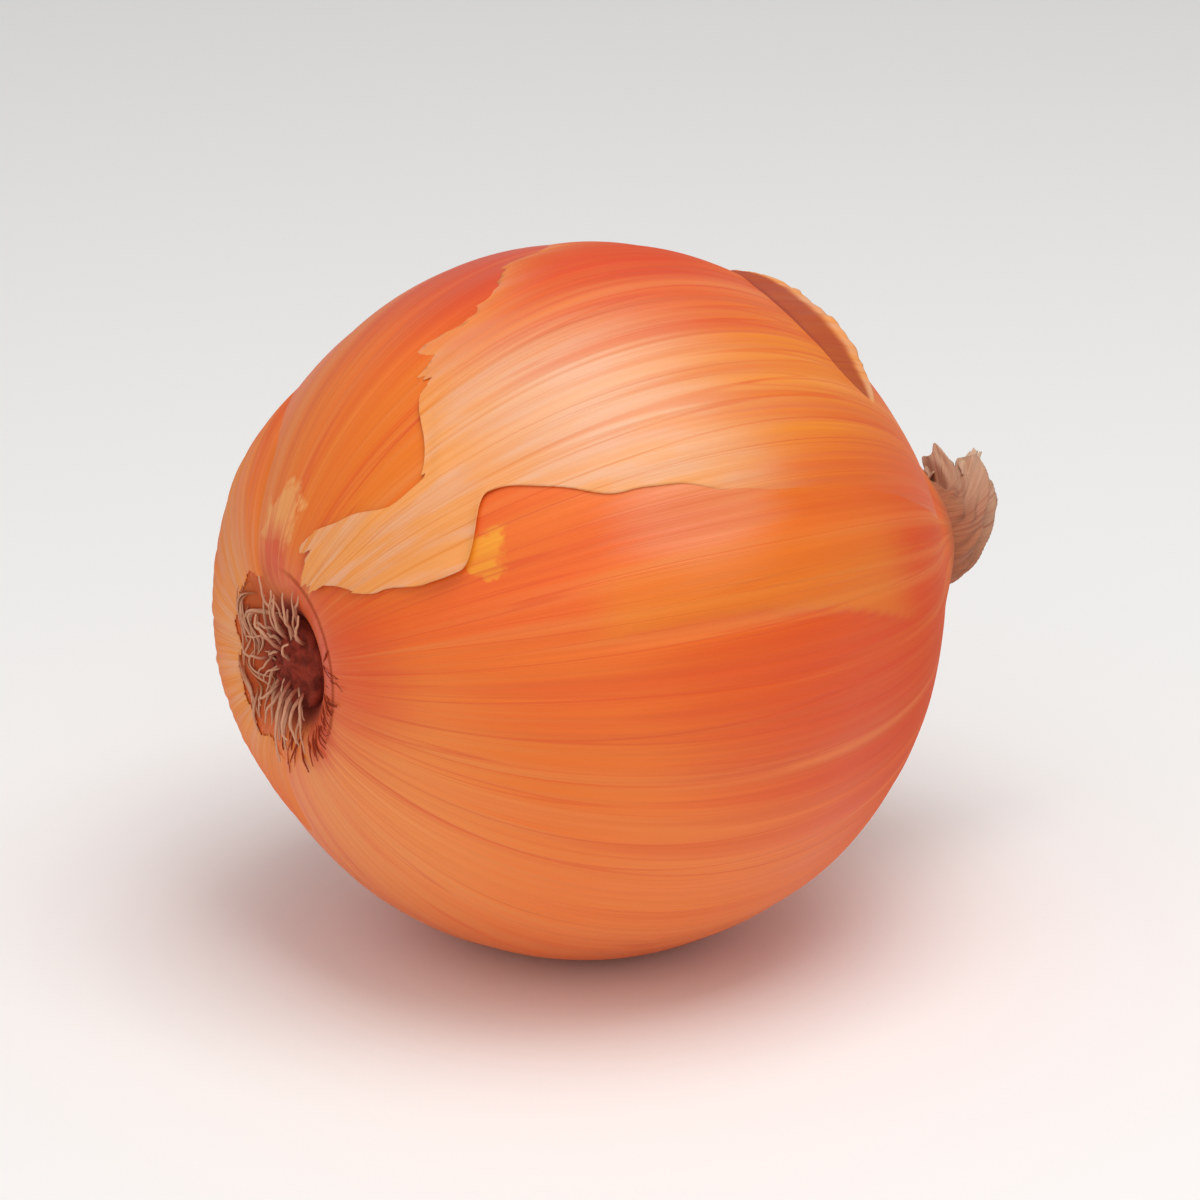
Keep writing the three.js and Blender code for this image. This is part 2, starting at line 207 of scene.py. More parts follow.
class SkinShape(bpy.types.PropertyGroup):
    """The loose, dry skins."""

    gap: length("Gap", "Air between the bulb and a skin", 0.00006)
    thickness: length("Thickness", "Thickness of a skin", 0.00014)
    edge_lift: length("Edge lift", "How far a torn edge stands up", 0.0006)
    curl_lift: length("Curl lift", "How far the curl by the neck stands up", 0.0024)
    collar_lift: length("Collar lift", "How far the collar round the roots stands up", 0.0013)
    rag: angle("Rag", "How far a torn edge wanders", 2.2)
    collar_rag: angle("Collar rag", "How far the collar's edge wanders", 1.6)

    @property
    def flush_drop(self):
        """How far an edge goes down to lie flush with the bulb."""
        return self.gap + self.thickness + SKIN_SUNK


class RootShape(bpy.types.PropertyGroup):
    """The root plate, its roots, the hairs in front of it and the threads behind it."""

    plate_radius: length("Plate radius", "Radius of the corky plate", 0.005)
    plate_front: length("Plate front", "How far the plate stands out of the hollow", 0.004)
    plate_dome: length("Plate dome", "Rise of the plate's middle", 0.001)
    root_count: count("Roots", "Number of dead roots", 40)
    root_spread: length("Root spread", "Radius over which the roots are set", 0.004)
    root_short: length("Shortest root", "Length of the shortest root", 0.005)
    root_long: length("Longest root", "Length of the longest root", 0.0092)
    root_thickness: length("Root thickness", "Radius of a root at its foot", 0.00025)
    strand_count: count("Strands", "Number of threads between plate and collar", 26)
    strand_lift: length("Strand lift", "How far a thread stands off the skin", 0.0005)
    strand_thickness: length("Strand thickness", "Radius of a thread", 0.00015)
    fringe_count: count("Fringe hairs", "Number of hairs in front of the plate", 56)
    fringe_inner: length("Fringe inner radius", "Radius where the fringe starts", 0.0070)
    fringe_outer: length("Fringe outer radius", "Radius where the fringe ends", 0.0084)
    fringe_short: length("Shortest hair", "Length of the shortest hair", 0.0022)
    fringe_long: length("Longest hair", "Length of the longest hair", 0.0044)
    fringe_thickness: length("Hair thickness", "Radius of a hair at its foot", 0.00014)


class NeckShape(bpy.types.PropertyGroup):
    """The pleated stalk of dead leaf sheaths and its torn strips."""

    knee: length("Knee", "How far out the neck bends over", 0.0045)
    tip_out: length("Tip out", "How far out the stalk ends", 0.007)
    tip_back: length("Tip back", "How far towards the back the stalk ends", 0.007)
    tip_up: length("Tip up", "How far up the stalk ends", 0.0015)
    pleats: count("Pleats", "Number of pleats round the stalk", 7)
    pleat_share: share("Pleat depth", "Share by which a pleat stands out", 0.2)
    twist: angle("Twist", "How far the pleats turn along the stalk", 55)
    strip_count: count("Strips", "Number of torn strips", 7)
    strip_width: length("Strip width", "Width of a strip at its foot", 0.0034)
    strip_short: length("Shortest strip", "Length of the shortest strip", 0.004)
    strip_long: length("Longest strip", "Length of the longest strip", 0.0065)
    strip_thickness: length("Strip thickness", "Thickness of a strip", 0.00018)


class OnionColours(bpy.types.PropertyGroup):
    """The onion's colours."""

    copper: colour("Copper", "Most of the bulb", 236, 99, 22)
    ember: colour("Ember", "Deep patches and veins", 218, 66, 16)
    honey: colour("Honey", "Golden patches", 232, 134, 28)
    apricot: colour("Apricot", "Pale, dry skin", 242, 162, 88)
    # Blush is the palest skin and also painted highlight on the side of the light.
    blush: colour("Blush", "Palest skin, on the side of the light", 232, 178, 142)
    sun: colour("Sun", "The small yellow spot by the torn strip", 242, 176, 40)
    # Rust is also painted shade: behind the roots, and on the curl's face and along its foot.
    rust: colour("Rust", "Shaded inner skin by the roots, and the withered curl", 150, 52, 26)
    straw: colour("Straw", "Torn tips of the neck", 216, 180, 150)
    root: colour("Root", "Dead roots and the threads behind them", 208, 152, 120)
    bark: colour("Bark", "Foot of the neck and of the threads", 172, 98, 60)
    # Cork is the plate's own colour. On the hollow round the plate it is partly painted shade.
    cork: colour("Cork", "Root plate and the hollow round it", 146, 50, 32)
    fringe: colour("Fringe", "Hairs in front of the plate", 150, 52, 24)
    floor: colour("Floor", "Studio floor", 250, 249, 247)


class StudioSettings(bpy.types.PropertyGroup):
    """The camera, the lights and the floor."""

    azimuth: angle("Azimuth", "Side from which the camera looks", -31)
    elevation: angle("Elevation", "Height of the camera above the horizon", 20)
    lens: FloatProperty(name="Lens", description="Focal length", default=180, unit="CAMERA")
    frame_width: length("Frame width", "Width of what the camera sees at the onion", 0.13)
    target: length("Target", "Place along the bulb's axis that the camera looks at", 0.002)
    floor_size: length("Floor", "Side of the floor", 6)
    softbox_power: power("Softbox", "Power of the overhead light", 2.3)
    softbox_size: length("Softbox size", "Side of the overhead light", 0.45)
    softbox_height: length("Softbox height", "Height of the overhead light", 0.62)
    sky_strength: share("Sky", "Strength of the even light all round", 0.42)
    fill_power: power("Fill", "Power of the light by the camera", 7)
    fill_size: length("Fill size", "Side of the light by the camera", 2)
    fill_distance: length("Fill distance", "Distance of the light by the camera", 1.3)


class Onion(bpy.types.PropertyGroup):
    """All the onion's settings."""

    bulb: PointerProperty(type=BulbShape)
    skin: PointerProperty(type=SkinShape)
    roots: PointerProperty(type=RootShape)
    neck: PointerProperty(type=NeckShape)
    colours: PointerProperty(type=OnionColours)
    studio: PointerProperty(type=StudioSettings)


class Wire:
    """An output of a node tree. Arithmetic on it adds Math nodes, and node() adds any other node."""

    def __init__(self, tree, socket=None):
        self.tree = tree
        self.socket = socket

    def node(self, kind, settings=None, sockets=None, output=0):
        """Adds a node, its settings first, then the values or links of its sockets. Returns one output."""
        made = self.tree.nodes.new(kind)
        for name, value in (settings or {}).items():
            setattr(made, name, value)
        for name, value in (sockets or {}).items():
            socket = self.find(made.inputs, name)
            if isinstance(value, Wire):
                self.tree.links.new(value.socket, socket)
            else:
                socket.default_value = value
        return Wire(self.tree, self.find(made.outputs, output) if made.outputs else None)

    @staticmethod
    def find(sockets, key):
        if isinstance(key, int):
            return sockets[key]
        return next(socket for socket in sockets if socket.name == key and socket.enabled)

    def __getitem__(self, output):
        """Another output of the same node."""
        return Wire(self.tree, self.find(self.socket.node.outputs, output))

    def math(self, operation, *others):
        return self.node("ShaderNodeMath", {"operation": operation}, dict(enumerate((self, *others))))

    def __add__(self, other):
        return self.math("ADD", other)

    def __sub__(self, other):
        return self.math("SUBTRACT", other)

    def __rsub__(self, other):
        return self * -1 + other

    def __mul__(self, other):
        return self.math("MULTIPLY", other)

    def __truediv__(self, other):
        return self.math("DIVIDE", other)

    def __pow__(self, other):
        return self.math("POWER", other)

    def __neg__(self):
        return self * -1

    def __lt__(self, other):
        return self.math("LESS_THAN", other)

    def __gt__(self, other):
        return self.math("GREATER_THAN", other)

    __radd__ = __add__
    __rmul__ = __mul__


def split(vector):
    """The x, y and z of a vector."""
    return vector.node("ShaderNodeSeparateXYZ", {}, {"Vector": vector})


def stretched(vector, *shares):
    """A vector with each of its parts multiplied."""
    return vector.node("ShaderNodeVectorMath", {"operation": "MULTIPLY"}, {0: vector, 1: shares})


def noise(vector, scale, detail, output=0):
    sockets = {"Vector": vector, "Scale": scale, "Detail": detail}
    return vector.node("ShaderNodeTexNoise", {}, sockets, output)


# These work on wires and on plain numbers alike, so that each shape is written once.
def sine(value):
    return value.math("SINE") if isinstance(value, Wire) else np.sin(value)


def cosine(value):
    return value.math("COSINE") if isinstance(value, Wire) else np.cos(value)


def exponential(value):
    return value.math("EXPONENT") if isinstance(value, Wire) else np.exp(value)


def smooth(value, low, high):
    """Eases from 0 at low to 1 at high."""
    if isinstance(value, Wire):
        ends = {"Value": value, "From Min": low, "From Max": high}
        return value.node("ShaderNodeMapRange", {"interpolation_type": "SMOOTHSTEP"}, ends)
    part = np.clip((value - low) / (high - low), 0, 1)
    return part * part * (3 - 2 * part)


def between(low, high, part):
    return low + (high - low) * part


def radians(stations):
    return [math.radians(station) for station in stations]


def through(stations, at):
    """A smooth curve through a few (place, value) stations."""
    places, values = np.array(stations, float).T
    index = np.clip(np.searchsorted(places, at), 1, len(places) - 1)
    part = smooth(at, places[index - 1], places[index])
    return between(values[index - 1], values[index], part)


def ragged(at, waves):
    """The wander of a torn edge, from -1 to 1."""
    return sum(np.sin(np.radians(at * wave)) for wave in waves) / len(waves)


def draws(seed):
    """Seeded numbers from 0 to 1, the same every time."""
    whole = 0xFFFFFFFF
    state = seed
    while True:
        state = (state + 0x6D2B79F5) & whole
        mixed = ((state ^ state >> 15) * (state | 1)) & whole
        mixed = (mixed + (mixed ^ mixed >> 7) * (mixed | 61)) & whole ^ mixed
        yield (mixed ^ mixed >> 14) / (whole + 1)


# The bulb's form
def outline(theta, size):
    """The bulb's radius, and how far along its axis that is."""
    radius = size.girth * sine(theta)
    globe = -(size.half_length * cosine(theta))
    hollow = size.hollow_depth * exponential(-((radius / size.hollow_radius) ** 2))
    shoulder = size.shoulder_rise * exponential(-((radius / size.shoulder_radius) ** 2))
    return radius, globe + hollow * (theta < math.pi / 2) + shoulder * (theta > math.pi / 2)


def roundness(theta, phi, size):
    """How much further than the plain outline the bulb reaches at one side."""
    oval = size.oval_share * cosine(2 * (phi - size.oval_phi))
    three_sided = size.three_sided_share * cosine(3 * (phi - size.three_sided_phi))
    waves = cosine(16 * phi) + 0.4 * cosine(27 * phi + theta) + 0.3 * cosine(43 * phi - theta)
    return 1 + (oval + three_sided + size.rib_share * waves) * sine(theta) ** 2


def on_skin(theta, phi, size, relief=0):
    """A place on the bulb's skin, as x, y and z."""
    radius, along = outline(theta, size)
    reach = radius * roundness(theta, phi, size) + relief
    return along, -(reach * cosine(phi)), size.axis_height + reach * sine(phi)


def off_skin(theta, phi, lift, size):
    """Places raised off the skin along its normal, in an array."""
    step = 0.008

    def place(turn_along, turn_round):
        return np.stack(np.broadcast_arrays(*on_skin(theta + turn_along, phi + turn_round, size)), axis=-1)

    along = place(step, 0) - place(-step, 0)
    across = place(0, step) - place(0, -step)
    normal = np.cross(along, across)
    normal /= np.linalg.norm(normal, axis=-1, keepdims=True)
    return place(0, 0) + normal * np.asarray(lift)[..., None]


class Form:
    """A geometry tree with a named input for each size, and what the inputs are set to."""

    KINDS = {int: "NodeSocketInt", float: "NodeSocketFloat", bpy.types.Material: "NodeSocketMaterial"}

    def __init__(self, name, **sizes):
        self.name = name
        self.tree = bpy.data.node_groups.new(name, "GeometryNodeTree")
        self.plan = Wire(self.tree)
        self.values = {}
        face = self.tree.interface
        face.new_socket("Geometry", in_out="INPUT", socket_type="NodeSocketGeometry")
        face.new_socket("Geometry", in_out="OUTPUT", socket_type="NodeSocketGeometry")
        for key, value in sizes.items():
            label = key.replace("_", " ").capitalize()
            socket = face.new_socket(label, in_out="INPUT", socket_type=self.KINDS[type(value)])
            self.values[socket.identifier] = value
        entry = self.plan.node("NodeGroupInput")
        self.size = SimpleNamespace(**{key: entry[key.replace("_", " ").capitalize()] for key in sizes})

    def store(self, geometry, name, value, kind="FLOAT"):
        settings = {"data_type": kind, "domain": "POINT"}
        return self.plan.node("GeometryNodeStoreNamedAttribute", settings,
                              {"Geometry": geometry, "Name": name, "Value": value})

    def stored(self, name):
        return self.plan.node("GeometryNodeInputNamedAttribute", {"data_type": "FLOAT"}, {"Name": name})

    def vector(self, x, y, z):
        return self.plan.node("ShaderNodeCombineXYZ", {}, {"X": x, "Y": y, "Z": z})

    def drawn(self, offset, low, high):
        """A seeded draw for each point."""
        limits = {"Min": low, "Max": high, "Seed": self.size.seed + offset}
        return self.plan.node("FunctionNodeRandomValue", {"data_type": "FLOAT"}, limits, "Value")

    def threads(self, **kept_values):
        """Straight threads, one for each point, that remember the values given for their point."""
        points = self.plan.node("GeometryNodePoints", {}, {"Count": self.size.count})
        for name, value in kept_values.items():
            points = self.store(points, name, value)
        line = self.plan.node("GeometryNodeCurvePrimitiveLine")
        line = self.plan.node(
            "GeometryNodeResampleCurve", {"mode": "COUNT"}, {"Curve": line, "Count": self.size.steps})
        laid = self.plan.node("GeometryNodeInstanceOnPoints", {}, {"Points": points, "Instance": line})
        return self.plan.node("GeometryNodeRealizeInstances", {}, {"Geometry": laid})

    def spin(self, threads, part, place, girth):
        """Bends the threads to their places and gives them a round, tapered body."""
        threads = self.store(threads, "along", part)
        threads = self.plan.node("GeometryNodeSetPosition", {}, {"Geometry": threads, "Position": place})
        ring = self.plan.node("GeometryNodeCurvePrimitiveCircle", {}, {"Resolution": 6, "Radius": 1.0})
        return self.plan.node("GeometryNodeCurveToMesh", {}, {
            "Curve": threads, "Profile Curve": ring, "Scale": girth, "Fill Caps": True})

    def close(self, geometry):
        """Ends the tree: smooth shading, real geometry and the material."""
        eased = self.plan.node("GeometryNodeSetShadeSmooth", {}, {"Geometry": geometry})
        real = self.plan.node("GeometryNodeRealizeInstances", {}, {"Geometry": eased})
        finish = {"Geometry": real, "Material": self.size.material}
        painted = self.plan.node("GeometryNodeSetMaterial", {}, finish)
        self.plan.node("NodeGroupOutput", {}, {"Geometry": painted})

    def grow(self, name):
        """Runs the tree on a new object and keeps the result as a plain mesh."""
        body = new_object(name, bpy.data.meshes.new(name))
        modifier = body.modifiers.new(self.name, "NODES")
        modifier.node_group = self.tree
        for identifier, value in self.values.items():
            modifier[identifier] = value
        graph = bpy.context.evaluated_depsgraph_get()
        grown = bpy.data.meshes.new_from_object(body.evaluated_get(graph), depsgraph=graph)
        if not grown.polygons:
            raise RuntimeError(f"the form of {name} came out empty")
        body.modifiers.remove(modifier)
        empty = body.data
        body.data = grown
        bpy.data.meshes.remove(empty)
        grown.name = name
        return body


def new_object(name, mesh):
    body = bpy.data.objects.new(name, mesh)
    bpy.context.scene.collection.objects.link(body)
    return body


def bulb_sizes(shape):
    """The sizes that place a point on the skin."""
    names = (
        "girth", "half_length", "hollow_depth", "hollow_radius", "shoulder_rise", "shoulder_radius",
        "oval_share", "oval_phi", "three_sided_share", "three_sided_phi", "rib_share", "axis_height",
    )
    return {name: getattr(shape, name) for name in names}


def bulb_form(shape, paint):
    """The whole bulb: a grid rolled round the axis and closed at both poles."""
    form = Form(
        "bulb_form", **bulb_sizes(shape), stump_theta=shape.stump_theta,
        layer_step=shape.layer_step, vein_relief=shape.vein_relief, root_edge_theta=shape.root_edge_theta,
        sides=shape.sides, steps=shape.steps, material=paint)
    plan, size = form.plan, form.size
    stump_at = 0.97
    half_edge = 0.014
    grid = plan.node(
        "GeometryNodeMeshGrid", {},
        {"Size X": 1.0, "Size Y": 1.0, "Vertices X": size.steps, "Vertices Y": size.sides}, "Mesh")
    place = split(plan.node("GeometryNodeInputPosition"))
    along = place["X"] + 0.5
    theta = (along / stump_at).math("MINIMUM", 1) * size.stump_theta
    closing = ((1 - along) / (1 - stump_at)).math("MINIMUM", 1)
    phi = (place["Y"] + 0.5) * math.tau
    meridian = form.vector(cosine(phi), sine(phi), theta / math.pi)

    veins = noise(stretched(meridian, 16, 16, 2.5), 1.0, 2.0)
    layer = layer_mask(theta, phi)
    facing = smooth(cosine(phi - ROOT_EDGE_PHI), *ROOT_EDGE_FADE)
    inside = smooth(size.root_edge_theta - theta, -half_edge, half_edge) * facing
    relief = (veins - 0.5) * size.vein_relief * sine(theta) + (layer - inside) * size.layer_step
    x, y, z = on_skin(theta, phi, size, relief * smooth(theta, 0, 0.2))
    closed_z = between(size.axis_height, z, closing)
    rolled = form.store(grid, "meridian", meridian, "FLOAT_VECTOR")
    rolled = form.store(rolled, "layer", layer)
    rolled = form.store(rolled, "inside", inside)
    rolled = plan.node("GeometryNodeSetPosition", {}, {
        "Geometry": rolled, "Position": form.vector(x, y * closing, closed_z.math("MAXIMUM", 0))})
    form.close(plan.node("GeometryNodeMergeByDistance", {}, {"Geometry": rolled, "Distance": POLE_MERGE}))
    return form


def layer_mask(theta, phi):
    """1 just above the faint edge of the layer below the outer skin, fading upwards and to both ends."""
    degree = math.radians(1)
    bend = theta - LAYER_EDGE_THETA * degree
    edge = LAYER_EDGE_PHI * degree - bend * bend * (LAYER_EDGE_BEND / degree)
    above = smooth(phi - edge, 0, LAYER_EDGE_WIDTH * degree) * (1 - smooth(phi, *radians(LAYER_FADE_PHI)))
    ended = smooth(theta, *radians(LAYER_END_THETA))
    return above * smooth(theta, *radians(LAYER_START_THETA)) * (1 - ended)


# Sheets and bodies from grids of points
def sheet(under, upper):
    """Points and faces of a thin closed sheet between two grids of places."""
    points = np.concatenate([under.reshape(-1, 3), upper.reshape(-1, 3)])
    below, above = np.arange(len(points)).reshape(2, *under.shape[:2])
    faces = [quads(above), quads(below)[:, ::-1]]
    faces.append(quads(np.stack([below[0], above[0]])))
    faces.append(quads(np.stack([above[-1], below[-1]])))
    faces.append(quads(np.stack([above[:, 0], below[:, 0]])))
    faces.append(quads(np.stack([below[:, -1], above[:, -1]])))
    return points, np.concatenate(faces)


def thickened(grid, thickness):
    """The upper side of a sheet whose under side is a grid of places."""
    normal = np.cross(np.gradient(grid, axis=1), np.gradient(grid, axis=0))
    normal /= np.linalg.norm(normal, axis=-1, keepdims=True) + 1e-15
    return grid + normal * thickness


def quads(at):
    """Faces between the points of a grid of point numbers."""
    return np.stack([at[:-1, :-1], at[:-1, 1:], at[1:, 1:], at[1:, :-1]], axis=-1).reshape(-1, 4)


def both_sides(rows):
    """Values of a grid's points, for the under and the upper side of a sheet."""
    return np.concatenate([rows, rows])


def body_from(name, parts, paint, values):
    """An object from (points, faces) parts, with values kept on its points by name."""
    points = np.concatenate([part[0] for part in parts])
    starts = np.cumsum([0] + [len(part[0]) for part in parts])
    faces = np.concatenate([part[1] + start for part, start in zip(parts, starts)])
    mesh = bpy.data.meshes.new(name)
    mesh.from_pydata(points.tolist(), [], faces.tolist())
    for key, rows in values.items():
        kind, field = ("FLOAT_VECTOR", "vector") if rows.ndim == 2 else ("FLOAT", "value")
        mesh.attributes.new(key, kind, "POINT").data.foreach_set(field, rows.astype(np.float32).ravel())
    mesh.shade_smooth()
    mesh.materials.append(paint)
    mesh.validate()
    return new_object(name, mesh)


def grid_steps(columns, rows):
    """Shares along the columns and the rows of a grid, from 0 to 1."""
    return np.meshgrid(np.linspace(0, 1, columns + 1), np.linspace(0, 1, rows + 1))


def skin_body(name, theta, phi, lift, onion, paint, paleness, withered=0, standing=False):
    """A loose skin over the bulb, from grids of angles in degrees, lift and looks."""
    turn_along, turn_round = np.radians(theta), np.radians(phi)
    under = off_skin(turn_along, turn_round, lift, onion.bulb)
    if standing:
        upper = thickened(under, onion.skin.thickness)
    else:
        upper = off_skin(turn_along, turn_round, lift + onion.skin.thickness, onion.bulb)
    meridian = np.stack([np.cos(turn_round), np.sin(turn_round), turn_along / math.pi], axis=-1)
    values = {"meridian": both_sides(meridian.reshape(-1, 3))}
    for key, look in (("paleness", paleness), ("withered", withered)):
        values[key] = both_sides(np.broadcast_to(look, theta.shape).ravel())
    body = body_from(name, [sheet(under, upper)], paint, values)
    tidy_mesh(body.data)
    return body


def edge_distance(theta, phi):
    """How far each place of a skin is from the skin's edge by the roots, in degrees along the bulb."""
    rows = np.arange(len(theta))
    finer = np.linspace(0, rows[-1], 4 * rows[-1] + 1)
    edge = zip(np.interp(finer, rows, theta[:, 0]), np.interp(finer, rows, phi[:, 0]))
    nearest = np.full(theta.shape, np.inf)
    girth_share = np.sin(np.radians(theta))
    for edge_theta, edge_phi in edge:
        nearest = np.minimum(nearest, np.hypot(theta - edge_theta, (phi - edge_phi) * girth_share))
    return nearest


def outer_skin(onion, paint):
    """The palest layer, over the top and back. A strip of it still reaches the root plate."""
    u, v = grid_steps(columns=200, rows=240)
    level = np.interp(v, *zip(*OUTER_SKIN_ROWS))
    behind = smooth(level, 84, 104)
    front_rag = ragged(level, (52, 23)) + 0.35 * ragged(level, (131, 217, 173))
    back_rag = 2.2 * ragged(level, (7.3, 15.1, 26.7)) + 0.5 * ragged(level, (61, 97, 143, 229))
    rag = math.degrees(onion.skin.rag) * between(front_rag, back_rag, behind)
    start = through(OUTER_SKIN_TEAR, level) + rag
    theta = np.maximum(start, np.interp(u, *zip(*OUTER_SKIN_COLUMNS)))
    drawn_up = through(OUTER_SKIN_DRAWN_UP, theta) * (1 - smooth(v, 0.5, 1))
    past_front = level - OUTER_SKIN_FRONT
    front_edge = np.exp(-past_front / 2)
    fanned = past_front * 0.5 * (1 - smooth(theta, 20, 40))
    phi = level + fanned + drawn_up + 0.35 * front_edge * ragged(theta, (11, 23.7, 41))
    torn_edge = np.exp(-edge_distance(theta, phi) / 4)
    torn = torn_edge * (0.7 + 0.3 * ragged(level, (17, 29))) * (1 - 0.9 * smooth(level, 58, 68))
    loose = front_edge * np.exp(-((theta - 43) / 8) ** 2) * (0.85 + 0.15 * ragged(theta, (13, 37)))
    flush = np.maximum(front_edge * smooth(theta, 72, 95), 0.8 * torn_edge * smooth(level, 60, 70))
    flush = np.maximum(flush, np.maximum(smooth(theta, 148, 157), smooth(level, 194, 201)))
    raised = onion.skin.edge_lift * np.clip(torn + 1.6 * loose, 0, 1.7)
    lift = onion.skin.gap + raised - flush * onion.skin.flush_drop
    strip = (1 - smooth(theta, 44, 74)) * (1 - smooth(level, 60, 90))
    rim = 0.7 * torn_edge
    # Pale along the front edge, reaching into where the overhead light reflects: partly pale skin and
    # partly painted highlight.
    pale_lip_and_highlight = 0.9 * np.exp(-past_front / 20) * (1 - smooth(theta, 78, 105))
    paleness = np.maximum(np.maximum(strip, rim), pale_lip_and_highlight)
    return skin_body("outer_skin", theta, phi, lift, onion, paint, paleness)


def skin_curl(onion, paint):
    """A torn tongue of skin by the neck that has dried and lifted clear."""
    u, v = grid_steps(columns=90, rows=24)
    stretch = 90 * u
    foot_bow = CURL_FOOT_BOW * np.sin(math.pi * u) * (1 - v)
    theta = between(*CURL_THETA, u) + between(*CURL_WIDTH, u) * (v - 0.5) - foot_bow
    theta += (0.9 * ragged(stretch, (7.3, 17.9)) + 0.35 * ragged(stretch, (43.1, 61.7, 83.3))) * v
    arch = onion.skin.curl_lift * np.sin(np.radians(158 * u ** 0.85)) * v ** 0.8
    arch *= 1 + (0.12 * ragged(stretch, (5.1, 12.7)) + 0.05 * ragged(stretch, (31.3, 47.9))) * v
    phi = between(*CURL_PHI, u)
    # The pale rim is partly a dry, bleached edge and partly painted highlight on its lit top edge. The
    # darker face and the dark line along its foot are painted shade under the lifted tongue, over withered
    # skin.
    rim = smooth(v, 0.6, 0.85)
    withered = (1 - rim) * (0.72 + 0.25 * (1 - smooth(v, 0.06, 0.2)))
    return skin_body("skin_curl", theta, phi, arch - SKIN_SUNK, onion, paint, rim, withered, standing=True)


def collar_tongue(phi):
    """1 where the collar reaches furthest along the bulb, fading to both sides. The angle is in radians."""
    away = (phi - math.radians(COLLAR_TONGUE_PHI)) / math.radians(COLLAR_TONGUE_WIDTH)
    return exponential(-(away * away))


def collar_height(theta, phi, lift):
    """How far the collar stands off the bulb. Angles are in radians."""
    start, end = radians(COLLAR_PHI)
    inner, outer = radians(COLLAR_THETA)
    part = (theta - inner) / (outer - inner + math.radians(COLLAR_TONGUE_THETA) * collar_tongue(phi))
    puffed = smooth(part, 0, 0.4) * (1 - smooth(part, 0.45, 1))
    return lift * puffed * smooth(phi, start, start + 0.6) * (1 - smooth(phi, end - 1.3, end))


def root_collar(onion, paint):
    """The rim of dry skin that is puffed up behind the root plate."""
    u, v = grid_steps(columns=60, rows=300)
    phi = between(*COLLAR_PHI, v)
    wander = ragged(phi, (5.3, 11, 17)) + 0.2 * ragged(phi, (71, 113, 167))
    rag = math.degrees(onion.skin.collar_rag) * wander
    tongue = collar_tongue(np.radians(phi))
    theta = between(COLLAR_THETA[0] + rag, COLLAR_THETA[1] + COLLAR_TONGUE_THETA * tongue, u)
    creased = 1 + 0.1 * ragged(phi, (13, 37, 61, 83))
    lift = collar_height(np.radians(theta), np.radians(phi), onion.skin.collar_lift) * creased
    flush = np.exp(-np.minimum(v, 1 - v) / 0.03) + smooth(u, 0.7, 0.95)
    lift += onion.skin.gap - flush * onion.skin.flush_drop
    paleness = np.maximum(1 - smooth(u, 0, 0.75), 0.8 * tongue * (1 - smooth(u, 0.45, 0.8)))
    return skin_body("root_collar", theta, phi, lift, onion, paint, paleness * np.sin(math.pi * v) ** 0.5)


# Root end
def hollow_x(radius, shape):
    return outline(np.arcsin(np.asarray(radius) / shape.girth), shape)[1]


def plate_front_x(onion):
    return float(hollow_x(0, onion.bulb)) - onion.roots.plate_front


def root_plate(onion, paint):
    """The corky disc in the hollow, domed and pitted."""
    shape, roots = onion.bulb, onion.roots
    u, v = grid_steps(columns=36, rows=96)
    turn = math.tau * v
    section = np.sin(math.pi * u)
    wavy = np.sqrt(section) * (1 + 0.05 * ragged(np.degrees(turn), (3, 7, 11)))
    radius = roots.plate_radius * np.where((u == 0) | (u == 1), 0, np.minimum(wavy, 1.35 * section))
    dome = roots.plate_dome * (1 - (radius / roots.plate_radius) ** 2)
    pits = 0.0003 * np.sin(9 * turn + 2200 * radius) * np.sin(5 * turn - 1500 * radius)
    front = plate_front_x(onion) - dome + pits * smooth(radius, 0.0002, 0.0022)
    back = hollow_x(radius, shape) + ROOT_SUNK
    x = np.where(u < 0.5, back, np.minimum(front, back - ROOT_SUNK))
    grid = np.stack([x, -radius * np.cos(turn), shape.axis_height + radius * np.sin(turn)], axis=-1)
    at = np.arange(u.size).reshape(u.shape)
    body = body_from("root_plate", [(grid.reshape(-1, 3), quads(at))], paint, {})
    tidy_mesh(body.data)
    return body


def tidy_mesh(mesh):
    """Merges points that coincide, drops points that no face uses, and turns all faces outwards."""
    edit = bmesh.new()
    edit.from_mesh(mesh)
    bmesh.ops.remove_doubles(edit, verts=edit.verts, dist=POINT_MERGE)
    bmesh.ops.delete(edit, geom=[vert for vert in edit.verts if not vert.link_faces], context="VERTS")
    bmesh.ops.recalc_face_normals(edit, faces=edit.faces)
    edit.to_mesh(mesh)
    edit.free()


